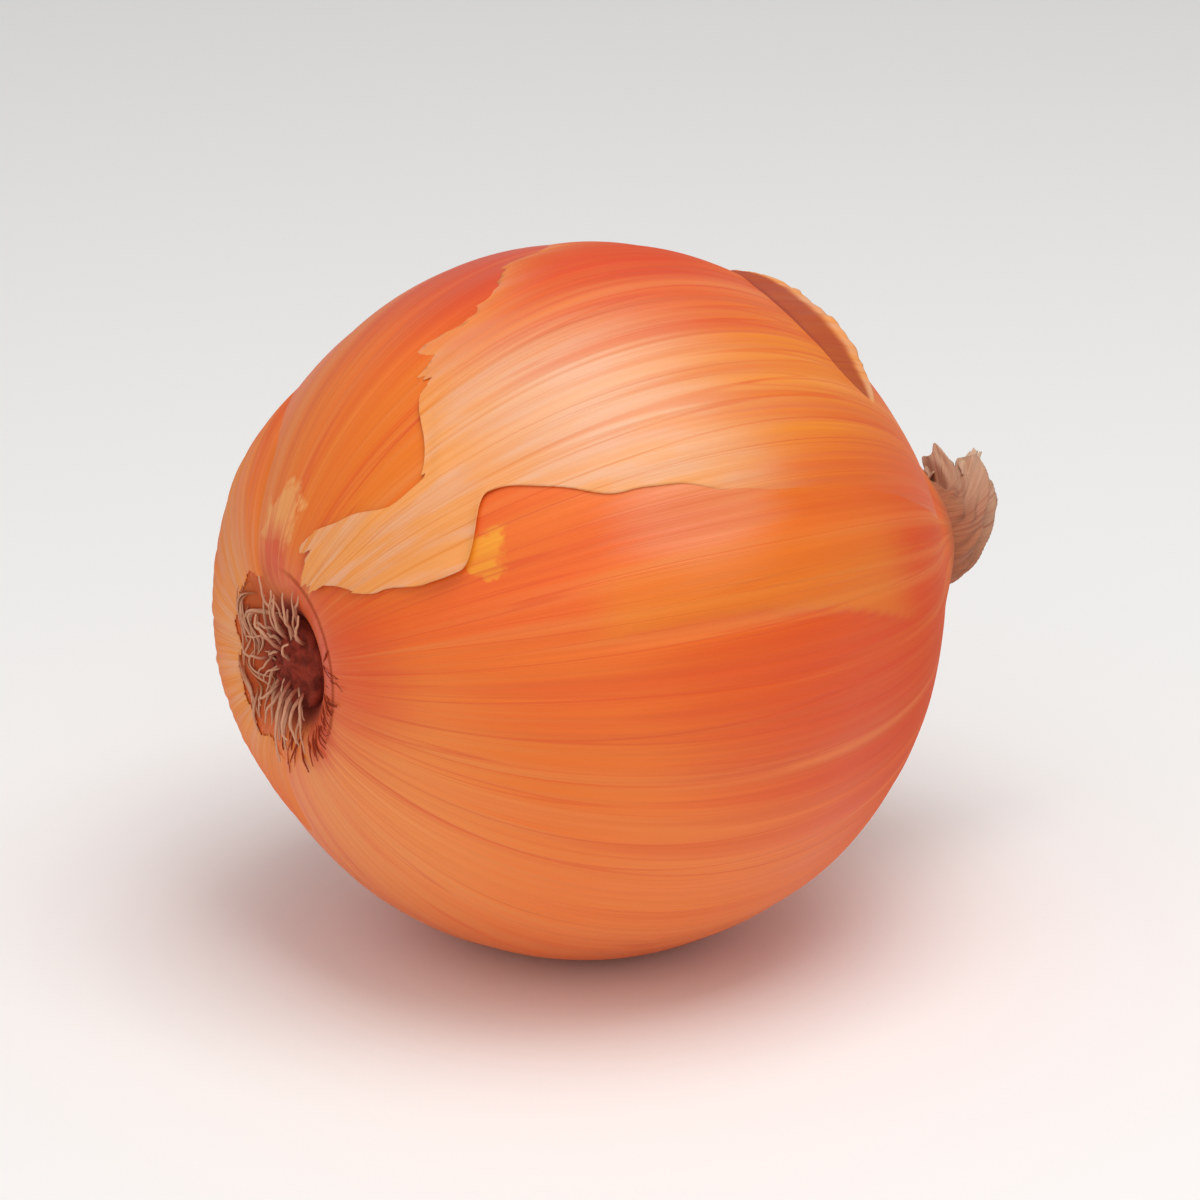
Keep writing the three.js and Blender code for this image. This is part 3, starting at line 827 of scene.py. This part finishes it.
def fibre_form(name, onion, **sizes):
    """Fibres set round the axis, each bent over to one side and tapered."""
    form = Form(name, axis_height=onion.bulb.axis_height, **sizes)
    plan, size = form.plan, form.size
    index = plan.node("GeometryNodeInputIndex")
    turn = size.sector_start + size.sector_width * (index * GOLDEN_SHARE).math("FRACT")
    radius = between(size.inner * size.inner, size.outer * size.outer, (index + 0.5) / size.count) ** 0.5
    fibres = form.threads(
        foot_y=-(radius * cosine(turn)),
        foot_z=radius * sine(turn),
        foot_rise=size.foot_slope * radius * radius,
        turn=turn + form.drawn(1, -0.5, 0.5),
        reach=form.drawn(2, size.shortest, size.longest),
        wander=form.drawn(3, -size.wander, size.wander),
        spread=form.drawn(4, size.spread_low, size.spread_high),
        stout=form.drawn(5, 0.6, 1.25),
        rise=form.drawn(6, size.rise_low, size.rise_high))

    part = plan.node("GeometryNodeSplineParameter", {}, {}, "Factor")
    reach, wander, side = form.stored("reach"), form.stored("wander"), form.stored("turn")
    away = reach * form.stored("rise") * part * (1.2 - 0.72 * part)
    aside = reach * form.stored("spread") * part ** size.bend
    around = reach * wander * part * part
    crinkle_at = form.vector(part * 2.6, side * 3, wander * 40)
    crinkle = split(noise(crinkle_at, 1.0, 1.0, "Color"))
    bend = reach * part * size.crinkle
    level = (sine(side) * around - cosine(side) * aside) * size.level
    upright = (sine(side) * aside + cosine(side) * around) * size.upright - reach * part * part * size.droop
    place = form.vector(
        size.foot_x + form.stored("foot_rise") - away - (crinkle["X"] - 0.5) * bend * 0.4,
        form.stored("foot_y") + level + (crinkle["Y"] - 0.5) * bend,
        form.stored("foot_z") + size.axis_height + upright + (crinkle["Z"] - 0.5) * bend)
    girth = size.thickness * form.stored("stout") * (1 - 0.6 * part)
    form.close(form.spin(fibres, part, place, girth))
    return form


def dead_roots(onion, paint):
    """The dead roots that come out of the plate and lie matted over it."""
    roots = onion.roots
    form = fibre_form(
        "root_form", onion,
        count=roots.root_count, seed=7, steps=18, inner=0.0, outer=roots.root_spread,
        foot_x=plate_front_x(onion) + ROOT_SUNK, foot_slope=12.0,
        shortest=roots.root_short, longest=roots.root_long, thickness=roots.root_thickness,
        sector_start=math.radians(45), sector_width=math.radians(290),
        level=0.45, upright=1.1, bend=1.25, droop=0.1, wander=0.45, spread_low=0.5, spread_high=1.0,
        rise_low=0.35, rise_high=0.85, crinkle=0.35, material=paint)
    return form.grow("roots")


def root_fringe(onion, paint):
    """Short dark hairs in front of the root plate, lying outwards over the skin."""
    roots = onion.roots
    foot = float(hollow_x(roots.fringe_inner, onion.bulb))
    slope = 25.0
    form = fibre_form(
        "fringe_form", onion,
        count=roots.fringe_count, seed=19, steps=8, inner=roots.fringe_inner, outer=roots.fringe_outer,
        foot_x=foot + slope * roots.fringe_inner ** 2 + SKIN_SUNK, foot_slope=-slope,
        shortest=roots.fringe_short, longest=roots.fringe_long, thickness=roots.fringe_thickness,
        sector_start=math.radians(-105), sector_width=math.radians(125),
        level=1.0, upright=1.0, bend=1.1, droop=0.0, wander=0.3, spread_low=0.8, spread_high=1.0,
        rise_low=0.25, rise_high=0.55, crinkle=0.3, material=paint)
    return form.grow("root_fringe")


def collar_strands(onion, paint):
    """Dry threads that lie between the root plate and the collar."""
    roots = onion.roots
    form = Form(
        "strand_form", **bulb_sizes(onion.bulb), count=roots.strand_count, seed=31, steps=22,
        theta_low=math.radians(10.5), theta_high=math.radians(15.5), phi_low=math.radians(140),
        phi_high=math.radians(235), span_low=math.radians(20), span_high=math.radians(48),
        collar_lift=onion.skin.collar_lift, lift_low=0.0002, lift_high=roots.strand_lift,
        sway=math.radians(1.6), thickness=roots.strand_thickness, material=paint)
    plan, size = form.plan, form.size
    strands = form.threads(
        theta=form.drawn(1, size.theta_low, size.theta_high),
        phi=form.drawn(2, size.phi_low, size.phi_high),
        span=form.drawn(3, size.span_low, size.span_high),
        lift=form.drawn(4, size.lift_low, size.lift_high),
        stout=form.drawn(5, 0.5, 1.3))
    part = plan.node("GeometryNodeSplineParameter", {}, {}, "Factor")
    phi = form.stored("phi") + form.stored("span") * (part - 0.5)
    slant = (form.stored("stout") - 0.9) * 0.15
    sway = size.sway * sine(part * 4 + form.stored("phi") * 9)
    theta = form.stored("theta") + slant * (part - 0.5) + sway
    bowed = form.stored("lift") * (0.3 + sine(part * math.pi) * 0.7)
    lift = collar_height(theta, phi, size.collar_lift) + bowed
    x, y, z = on_skin(theta, phi, size)
    place = form.vector(
        x - cosine(theta) * lift, y - sine(theta) * cosine(phi) * lift, z + sine(theta) * sine(phi) * lift)
    girth = size.thickness * form.stored("stout") * (0.25 + sine(part * math.pi) * 0.75)
    form.close(form.spin(strands, part, place, girth))
    return form.grow("collar_strands")


# Neck
def neck_line(onion, at):
    """The neck's line at a part of its length: its places, and the directions along and across it."""
    shape, neck = onion.bulb, onion.neck
    stump_x = float(outline(shape.stump_theta, shape)[1])
    foot = np.array([stump_x + NECK_FOOT_OUT, 0, shape.axis_height])
    knee = foot + [neck.knee, 0, 0]
    tip = foot + [neck.tip_out, neck.tip_back, neck.tip_up]
    at = np.asarray(at, float)[..., None]
    centre = foot * (1 - at) ** 2 + knee * 2 * at * (1 - at) + tip * at ** 2
    held = np.clip(at, 0, 1)
    along = (knee - foot) * (1 - held) + (tip - knee) * held
    along /= np.linalg.norm(along, axis=-1, keepdims=True)
    level = np.cross([0, 0, 1], along)
    level /= np.linalg.norm(level, axis=-1, keepdims=True)
    return centre, along, level, np.cross(level, along)


def neck_radius(onion, at, turn):
    neck = onion.neck
    twisted = turn + neck.twist * at
    pleats = neck.pleat_share * np.sin(neck.pleats * twisted)
    folds = 0.05 * np.sin(17 * twisted + 4 * at) + 0.035 * np.sin(29 * twisted - 6 * at)
    return through(NECK_RADII, at) * (1 + smooth(at, 0, 0.5) * pleats + smooth(at, -0.2, 0.3) * folds)


def neck_stalk(onion):
    """The pleated, twisted stalk. Its end is a ragged rim round a hollow."""
    outside, inside, sides_round = 70, 16, 168
    outer = np.linspace(NECK_START, 1, outside)
    inner = np.linspace(1, NECK_HOLLOW_END, inside)
    rows = np.concatenate([[NECK_START], outer, inner, [NECK_HOLLOW_END]])
    widths = np.concatenate([[0], np.ones(outside), np.linspace(0.86, 0.55, inside), [0]])
    turn = np.linspace(0, math.tau, sides_round + 1)
    at, sides = np.meshgrid(rows, turn, indexing="xy")
    width = np.broadcast_to(widths, at.shape)
    rim = 0.10 * smooth(at, 0.6, 1) * ragged(np.degrees(sides), (5, 13, 22)) * (width > 0)
    centre, along, level, upright = neck_line(onion, at + rim)
    reach = (neck_radius(onion, at, sides) * width)[..., None]
    places = centre + level * reach * np.sin(sides)[..., None] + upright * reach * np.cos(sides)[..., None]
    numbers = np.arange(at.size).reshape(at.shape)
    numbers[-1] = numbers[0]
    meridian = np.stack([np.cos(sides), np.sin(sides), at * 0.4], axis=-1)
    return (places.reshape(-1, 3), quads(numbers)), meridian.reshape(-1, 3), np.clip(at, 0, 1).ravel() * 0.6


def neck_strip(onion, index, draw):
    """A torn strip that flares off the stalk's end and curls."""
    neck = onion.neck
    turn = math.tau * index / neck.strip_count + math.radians(20) * next(draw)
    reach = between(neck.strip_short, neck.strip_long, next(draw))
    curl = between(0.1, 0.75, next(draw))
    centre, along, level, upright = neck_line(onion, STRIP_START)
    out = level * math.sin(turn) + upright * math.cos(turn)
    across = np.cross(out, along)
    u, v = grid_steps(columns=44, rows=16)
    frayed = 0.12 * np.abs(np.sin(9.5 * math.pi * v + index))
    frayed += 0.1 * np.abs(np.sin(4.5 * math.pi * v + 2 * index))
    along_it = u * (1 - frayed)
    width = neck.strip_width * between(1, 0.4, u * u) * (1 + 0.14 * np.sin(9 * u + index))
    flare = 0.6 * curl * reach * along_it ** 2
    cup = 0.0006 * (1 - (2 * v - 1) ** 2) + 0.00018 * np.sin(16 * v + 5 * u + index)
    places = (
        centre
        + along * (reach * along_it * (1 - 0.15 * curl * along_it))[..., None]
        + out * (STRIP_OUT + flare + cup)[..., None]
        + across * (width * (v - 0.5))[..., None])
    angle_here = turn + (v - 0.5) * 0.9
    meridian = np.stack([np.cos(angle_here), np.sin(angle_here), 0.32 + 0.4 * u], axis=-1)
    strip = sheet(places, thickened(places, neck.strip_thickness))
    return strip, both_sides(meridian.reshape(-1, 3)), both_sides((0.55 + 0.45 * u).ravel())


def dry_neck(onion, paint):
    """The stalk and its strips as one piece."""
    draw = draws(seed=3)
    made = [neck_stalk(onion)]
    made += [neck_strip(onion, index, draw) for index in range(onion.neck.strip_count)]
    parts, meridians, paleness = zip(*made)
    values = {"meridian": np.concatenate(meridians), "paleness": np.concatenate(paleness)}
    body = body_from("neck", parts, paint, values)
    tidy_mesh(body.data)
    return body


# Materials
def new_material(name):
    material = bpy.data.materials.new(name)
    material.use_nodes = True
    material.node_tree.nodes.clear()
    return material, Wire(material.node_tree)


def finish_material(plan, looks):
    """Ends the tree with one shader."""
    shader = plan.node("ShaderNodeBsdfPrincipled", {}, looks)
    plan.node("ShaderNodeOutputMaterial", {}, {"Surface": shader})


def bumps(plan, strength, distance, height):
    sockets = {"Strength": strength, "Distance": distance, "Height": height}
    return plan.node("ShaderNodeBump", {}, sockets)


def solid(levels):
    return (*levels, 1)


def blend(plan, factor, first, second, kind="MIX"):
    """A second colour laid over a first. Either may be a wire or three levels."""
    first, second = (paint if isinstance(paint, Wire) else solid(paint) for paint in (first, second))
    settings = {"data_type": "RGBA", "blend_type": kind}
    return plan.node("ShaderNodeMix", settings, {"Factor": factor, "A": first, "B": second}, "Result")


def shaded(plan, paint, shade):
    """A colour made darker by a share."""
    grey = plan.node("ShaderNodeCombineColor", {}, {"Red": shade, "Green": shade, "Blue": shade})
    return blend(plan, 1.0, paint, grey, "MULTIPLY")


def kept(plan, name, output="Fac"):
    """A value kept on the piece's own points."""
    return plan.node("ShaderNodeAttribute", {"attribute_name": name}, {}, output)


def streaks(meridian, fine, drawn_out, detail=2.0):
    """Noise drawn out from root to neck."""
    return noise(stretched(meridian, fine, fine, drawn_out), 1.0, detail)


def patch_mask(plan, place, patch, stray, shape):
    """How strongly a patch of colour shows, with a streaky or torn border."""
    centre = [float(c) for c in on_skin(math.radians(patch.theta), math.radians(patch.phi), shape)]
    away = plan.node("ShaderNodeVectorMath", {"operation": "DISTANCE"}, {0: place, 1: centre}, "Value")
    full = 0.65 if patch.torn else 0.25
    return (1 - smooth(away + stray * patch.reach, patch.reach * full, patch.reach)) * patch.strength


def skin_colour(plan, onion, patches):
    """The copper skin's colour, its veins and its streaks."""
    colours = onion.colours
    meridian = kept(plan, "meridian", "Vector")
    place = plan.node("ShaderNodeTexCoord", {}, {}, "Object")
    broad = streaks(meridian, 3, 2)
    bands = streaks(meridian, 14, 1.6)
    fine = streaks(meridian, 55, 2.5)
    hair = streaks(meridian, 150, 5)
    paint = blend(plan, smooth(broad, 0.35, 0.7) * 0.35, colours.copper, colours.honey)
    streaky = (bands - 0.5) * 0.5 + (fine - 0.5) * 0.7
    blotches = noise(place, 420.0, 3.0)
    jagged = (blotches - 0.5) * 2.2 + (fine - 0.5) * 0.2
    for patch in patches:
        mask = patch_mask(plan, place, patch, jagged if patch.torn else streaky, onion.bulb)
        paint = blend(plan, mask * (0.4 + 1.2 * fine), paint, getattr(colours, patch.colour))
    paint = blend(plan, smooth(bands, 0.5, 0.75) * 0.3, paint, colours.apricot)
    paint = blend(plan, smooth(bands, 0.48, 0.25) * 0.35, paint, colours.ember)
    line = (streaks(meridian, 10, 1.1, 1.0) - 0.5).math("ABSOLUTE")
    second_line = (streaks(meridian, 17, 0.8, 1.0) - 0.5).math("ABSOLUTE")
    veins = (1 - smooth(line, 0.004, 0.018)) * 0.6 + (1 - smooth(second_line, 0.003, 0.014)) * 0.4
    paint = blend(plan, veins * 0.55, paint, colours.ember)
    shade = 0.90 + fine * 0.14 + hair * 0.06
    return shaded(plan, paint, shade), veins, fine + hair * 0.5


def skin_finish(plan, paint, veins, grain, dull, relief, roughness, coat_roughness):
    """Ends the tree of a skin: a soft sheen over fine streaks, and less of it where the skin is dull."""
    finish_material(plan, {
        "Base Color": paint,
        "Roughness": roughness + grain * 0.08 + dull,
        "Normal": bumps(plan, relief, 0.0002, grain - veins * 0.5),
        "Specular IOR Level": 0.36,
        "Coat Weight": 0.1 - dull * 0.2,
        "Coat Roughness": coat_roughness,
    })


def copper_skin(onion):
    """The bulb's glossy copper layer: darker in the root hollow, partly its own colour and partly painted
    shade, with painted shade behind the roots, and brown by the neck.
    """
    material, plan = new_material("copper_skin")
    colours = onion.colours
    paint, veins, grain = skin_colour(plan, onion, SKIN_PATCHES)
    meridian = split(kept(plan, "meridian", "Vector"))
    stray = grain - 0.75
    paint = blend(plan, kept(plan, "layer") * 0.5, paint, colours.honey)
    paint = blend(plan, kept(plan, "inside") * 0.5, paint, colours.ember)
    # Painted shade on the back of the bulb beside the roots, in the rust colour.
    behind = smooth(-meridian["X"], 0.1, 0.8) * (1 - smooth(meridian["Z"] + stray * 0.03, 0.075, 0.105))
    paint = blend(plan, behind * 0.6, paint, colours.rust)
    edge = (meridian["Z"] + stray * 0.002 - onion.bulb.root_edge_theta / math.pi).math("ABSOLUTE")
    towards_edge = meridian["X"] * math.cos(ROOT_EDGE_PHI) + meridian["Y"] * math.sin(ROOT_EDGE_PHI)
    line = (1 - smooth(edge, 0.0004, 0.0034)) * smooth(towards_edge, *ROOT_EDGE_FADE)
    paint = blend(plan, line * 0.6, paint, colours.rust)
    # The hollow round the plate takes the cork colour: partly its own dark skin and partly painted shade in
    # the recess.
    hollow_dark_and_shade = 1 - smooth(meridian["Z"] + stray * 0.02, 0.046, 0.068)
    paint = blend(plan, hollow_dark_and_shade * 0.95, paint, colours.cork)
    dull = (hollow_dark_and_shade + line + behind).math("MINIMUM", 1) * 0.4 + smooth(meridian["Z"], 0.55, 0.72) * 0.4
    paint = blend(plan, smooth(meridian["Z"], 0.88, 0.95) * 0.7, paint, colours.bark)
    skin_finish(plan, paint, veins, grain, dull, relief=0.35, roughness=0.36, coat_roughness=0.3)
    return material


def golden_skin(onion):
    """Loose papery skin: pale where it has dried, with painted highlight where the overhead light falls on
    it, painted shade on the curl, and like the bulb elsewhere.
    """
    material, plan = new_material("golden_skin")
    colours = onion.colours
    paint, veins, grain = skin_colour(plan, onion, OUTER_SKIN_PATCHES)
    place = kept(plan, "meridian", "Vector")
    pale = blend(plan, smooth(streaks(place, 16, 14), 0.4, 0.65) * 0.7, colours.apricot, colours.blush)
    pale = blend(plan, veins * 0.5 + smooth(grain, 0.8, 0.6) * 0.35, pale, colours.honey)
    paint = blend(plan, kept(plan, "paleness") * 0.85, paint, pale)
    # Painted shade and withered colour on the curl's face and foot.
    paint = blend(plan, kept(plan, "withered"), paint, colours.rust)
    meridian = split(place)
    dull = smooth(-meridian["X"], -0.3, 0.1) * 0.3 + smooth(meridian["Z"], 0.62, 0.78) * 0.15
    skin_finish(plan, paint, veins, grain, dull, relief=0.4, roughness=0.38, coat_roughness=0.32)
    return material


def neck_material(onion):
    """Dead leaf sheaths: brown at the foot, straw at the torn ends, with fibres along them."""
    material, plan = new_material("dry_neck")
    meridian = kept(plan, "meridian", "Vector")
    fibres = streaks(meridian, 14, 1.5)
    fine = streaks(meridian, 45, 3)
    paint = blend(plan, kept(plan, "paleness"), onion.colours.bark, onion.colours.straw)
    paint = blend(plan, smooth(fibres, 0.5, 0.3) * 0.5, paint, onion.colours.rust)
    paint = shaded(plan, paint, 0.78 + fine * 0.4)
    relief = bumps(plan, 0.6, 0.0003, fine + fibres)
    finish_material(plan, {"Base Color": paint, "Roughness": 0.68, "Normal": relief})
    return material


def fibre_material(name, foot, tip):
    """A dry fibre, from one colour at its foot to another at its tip."""
    material, plan = new_material(name)
    mottle = noise(plan.node("ShaderNodeTexCoord", {}, {}, "Object"), 900.0, 2.0)
    paint = blend(plan, smooth(kept(plan, "along") + (mottle - 0.5) * 0.5, 0.05, 0.55), foot, tip)
    finish_material(plan, {"Base Color": paint, "Roughness": 0.75, "Specular IOR Level": 0.2})
    return material


def cork_material(onion):
    """The pitted cork of the root plate."""
    material, plan = new_material("cork")
    lumps = noise(plan.node("ShaderNodeTexCoord", {}, {}, "Object"), 700.0, 4.0)
    dark = [level * 0.45 for level in onion.colours.cork]
    paint = blend(plan, smooth(lumps, 0.35, 0.65), dark, onion.colours.cork)
    relief = bumps(plan, 0.8, 0.0006, lumps)
    looks = {"Base Color": paint, "Roughness": 0.85, "Normal": relief, "Specular IOR Level": 0.2}
    finish_material(plan, looks)
    return material


def settle(piece, slot, *nodes):
    """Sets a finished piece on the body it belongs to and hides the nodes it stands for. The finish it is
    given is not used.
    """
    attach(piece, "root")
    if nodes:
        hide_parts(*nodes)


class BuildBulb(bpy.types.Operator):
    """Builds the bulb"""

    bl_idname = "onion.bulb"
    bl_label = "Bulb"

    def execute(self, context):
        onion = context.scene.onion
        settle(bulb_form(onion.bulb, copper_skin(onion)).grow("bulb"), "copper_skin", "bulb")
        return {"FINISHED"}


class BuildSkins(bpy.types.Operator):
    """Builds the loose skins over the bulb"""

    bl_idname = "onion.skins"
    bl_label = "Loose skins"

    def execute(self, context):
        onion = context.scene.onion
        paint = golden_skin(onion)
        settle(outer_skin(onion, paint), "golden_skin", "outer_skin")
        settle(skin_curl(onion, paint), "golden_skin", "skin_curl")
        settle(root_collar(onion, paint), "golden_skin", "root_collar")
        return {"FINISHED"}


class BuildRoots(bpy.types.Operator):
    """Builds the root plate, its dead roots, the hairs in front of it and the threads behind it"""

    bl_idname = "onion.roots"
    bl_label = "Roots"

    def execute(self, context):
        onion = context.scene.onion
        colours = onion.colours
        settle(root_plate(onion, cork_material(onion)), "dry_root", "root_tuft")
        dry_root = fibre_material("dry_root", colours.cork, colours.root)
        settle(dead_roots(onion, dry_root), "dry_root", "root_tuft")
        settle(root_fringe(onion, fibre_material("fringe", colours.rust, colours.fringe)), "dry_root")
        settle(collar_strands(onion, fibre_material("strands", colours.bark, colours.root)), "dry_root")
        return {"FINISHED"}


class BuildNeck(bpy.types.Operator):
    """Builds the dry neck"""

    bl_idname = "onion.neck"
    bl_label = "Neck"

    def execute(self, context):
        onion = context.scene.onion
        settle(dry_neck(onion, neck_material(onion)), "dry_neck", "neck")
        return {"FINISHED"}


def towards(azimuth, elevation):
    """The direction from the onion to a camera or light on that side."""
    level = math.cos(elevation)
    return Vector((math.sin(azimuth) * level, -math.cos(azimuth) * level, math.sin(elevation)))


def aim(thing, target):
    thing.rotation_euler = (target - thing.location).to_track_quat("-Z", "Y").to_euler()


class BuildStudio(bpy.types.Operator):
    """Sets up the floor, the lights and the camera"""

    bl_idname = "onion.studio"
    bl_label = "Studio"

    def execute(self, context):
        scene = context.scene
        onion = scene.onion
        studio = onion.studio
        centre = Vector((studio.target, 0, onion.bulb.axis_height))
        self.floor(studio.floor_size, onion.colours.floor)

        world = bpy.data.worlds.new("studio")
        world.use_nodes = True
        sky = world.node_tree.nodes["Background"]
        sky.inputs["Color"].default_value = (1, 1, 1, 1)
        sky.inputs["Strength"].default_value = studio.sky_strength
        scene.world = world

        above = Vector(SOFTBOX_DIRECTION) * studio.softbox_height
        self.light("softbox", studio.softbox_power, studio.softbox_size, centre, above)
        beside = towards(studio.azimuth - FILL_TURN, studio.elevation + FILL_RISE) * studio.fill_distance
        self.light("fill", studio.fill_power, studio.fill_size, centre, beside)

        camera = bpy.data.cameras.new("camera")
        camera.lens = studio.lens
        camera.dof.use_dof = False
        eye = new_object("camera", camera)
        away = studio.frame_width / 2 / math.tan(camera.angle / 2)
        eye.location = centre + towards(studio.azimuth, studio.elevation) * away
        aim(eye, centre)
        scene.camera = eye
        scene.view_settings.view_transform = "Standard"
        return {"FINISHED"}

    @staticmethod
    def light(name, watts, size, centre, away):
        lamp = bpy.data.lights.new(name, "AREA")
        lamp.shape = "SQUARE"
        lamp.size = size
        lamp.energy = watts
        body = new_object(name, lamp)
        body.location = centre + away
        aim(body, centre)

    @staticmethod
    def floor(size, levels):
        half = size / 2
        corners = [(-half, -half, 0), (half, -half, 0), (half, half, 0), (-half, half, 0)]
        mesh = bpy.data.meshes.new("floor")
        mesh.from_pydata(corners, [], [(0, 1, 2, 3)])
        material, plan = new_material("floor")
        finish_material(plan, {"Base Color": solid(levels), "Roughness": 0.7})
        mesh.materials.append(material)
        new_object("floor", mesh)


class OnionPanel(bpy.types.Panel):
    """The onion's sizes, colours and build steps"""

    bl_idname = "VIEW3D_PT_onion"
    bl_label = "Onion"
    bl_space_type = "VIEW_3D"
    bl_region_type = "UI"
    bl_category = "Onion"

    def draw(self, context):
        onion = context.scene.onion
        for step in STEPS:
            self.layout.operator(step.bl_idname)
        for group in (onion.bulb, onion.skin, onion.roots, onion.neck, onion.colours, onion.studio):
            box = self.layout.box()
            for name in group.__annotations__:
                box.prop(group, name)


STEPS = (BuildBulb, BuildSkins, BuildRoots, BuildNeck, BuildStudio)
CLASSES = (
    BulbShape, SkinShape, RootShape, NeckShape, OnionColours, StudioSettings, Onion, *STEPS, OnionPanel,
)


def register():
    for one in CLASSES:
        bpy.utils.register_class(one)
    bpy.types.Scene.onion = PointerProperty(type=Onion)


def unregister():
    del bpy.types.Scene.onion
    for one in reversed(CLASSES):
        bpy.utils.unregister_class(one)


def main():
    register()
    bpy.ops.onion.bulb()
    bpy.ops.onion.skins()
    bpy.ops.onion.roots()
    bpy.ops.onion.neck()
    bpy.ops.onion.studio()


if __name__ == "__main__":
    main()
